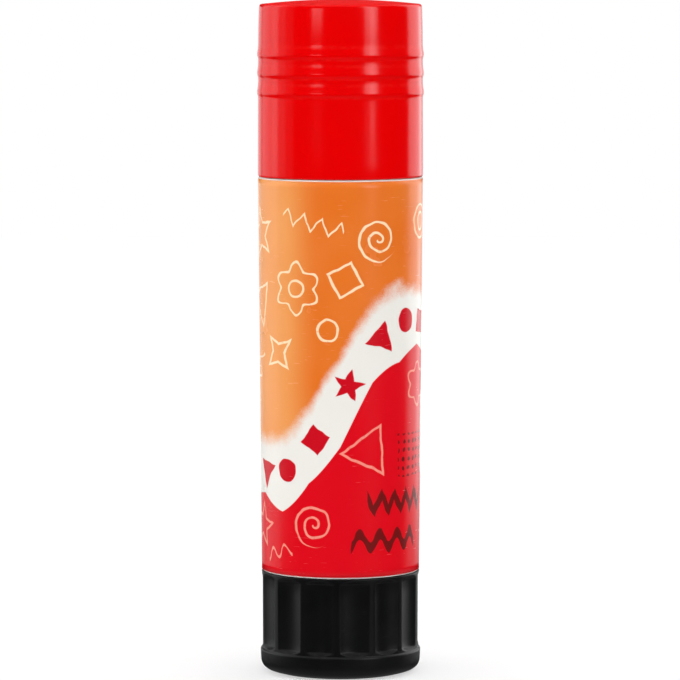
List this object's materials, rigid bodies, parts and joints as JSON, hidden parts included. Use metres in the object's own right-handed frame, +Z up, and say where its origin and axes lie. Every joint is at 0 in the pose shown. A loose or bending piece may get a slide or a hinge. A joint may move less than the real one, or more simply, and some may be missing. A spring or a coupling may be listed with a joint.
{
  "type": "glue stick",
  "caption": "Twist-up glue stick: a fluted knob turns a lead screw that lifts the glue in its labelled barrel, under a push-on cap with grip rings.",
  "frame": {"origin": "on the axis of the stick, in the plane that the foot of the knob stands on", "axes": "+Z up along the axis, from the knob to the cap; -Y towards the front of the label, with its lap at the back (+Y)"},
  "size_m": [0.0212, 0.0212, 0.0857],
  "materials": {
    "knob_plastic": "satin",
    "screw_plastic": "satin",
    "barrel_plastic": "satin",
    "label_film": "satin",
    "carrier_plastic": "satin",
    "glue": "satin",
    "cap_plastic": "gloss"
  },
  "bodies": {
    "barrel": {"barrel": "barrel_plastic", "label": "label_film"},
    "knob": {"twist_knob": "knob_plastic", "lead_screw": "screw_plastic"},
    "carrier": {"glue_carrier": "carrier_plastic", "glue": "glue"},
    "cap": {"cap": "cap_plastic"}
  },
  "joints": [
    {"name": "knob_turn", "type": "hinge", "parent": "barrel", "child": "knob", "pos_m": [0, 0, 0], "axis": [0, 0, 1], "range_deg": [0, 3240]},
    {"name": "glue_lift", "type": "slide", "parent": "barrel", "child": "carrier", "axis": [0, 0, 1], "range_m": [0, 0.045]},
    {"name": "cap_pull", "type": "slide", "parent": "carrier", "child": "cap", "axis": [0, 0, 1], "range_m": [0, 0.03]}
  ],
  "couplings": [
    {"joint": "glue_lift", "follows": "knob_turn", "m_per_rad": 0.00079577}
  ]
}
